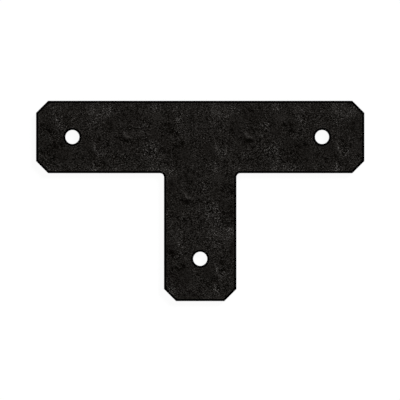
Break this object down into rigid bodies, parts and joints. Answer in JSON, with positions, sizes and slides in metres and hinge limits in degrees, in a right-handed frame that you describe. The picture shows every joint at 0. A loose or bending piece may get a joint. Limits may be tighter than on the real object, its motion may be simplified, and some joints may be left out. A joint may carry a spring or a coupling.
{
  "type": "t plate bracket",
  "caption": "Flat T-shaped steel plate with clipped corners and a bolt hole near each end, for tying a post to the beam it meets.",
  "frame": {"origin": "where the centre lines of the cross arm and the leg meet, on the back face", "axes": "+X along the cross arm, -Y down the leg, +Z out of the front face"},
  "size_m": [0.3454, 0.2108, 0.0063],
  "materials": {
    "black_coated_steel": "matte"
  },
  "bodies": {
    "root": {"t_plate": "black_coated_steel"}
  },
  "joints": []
}
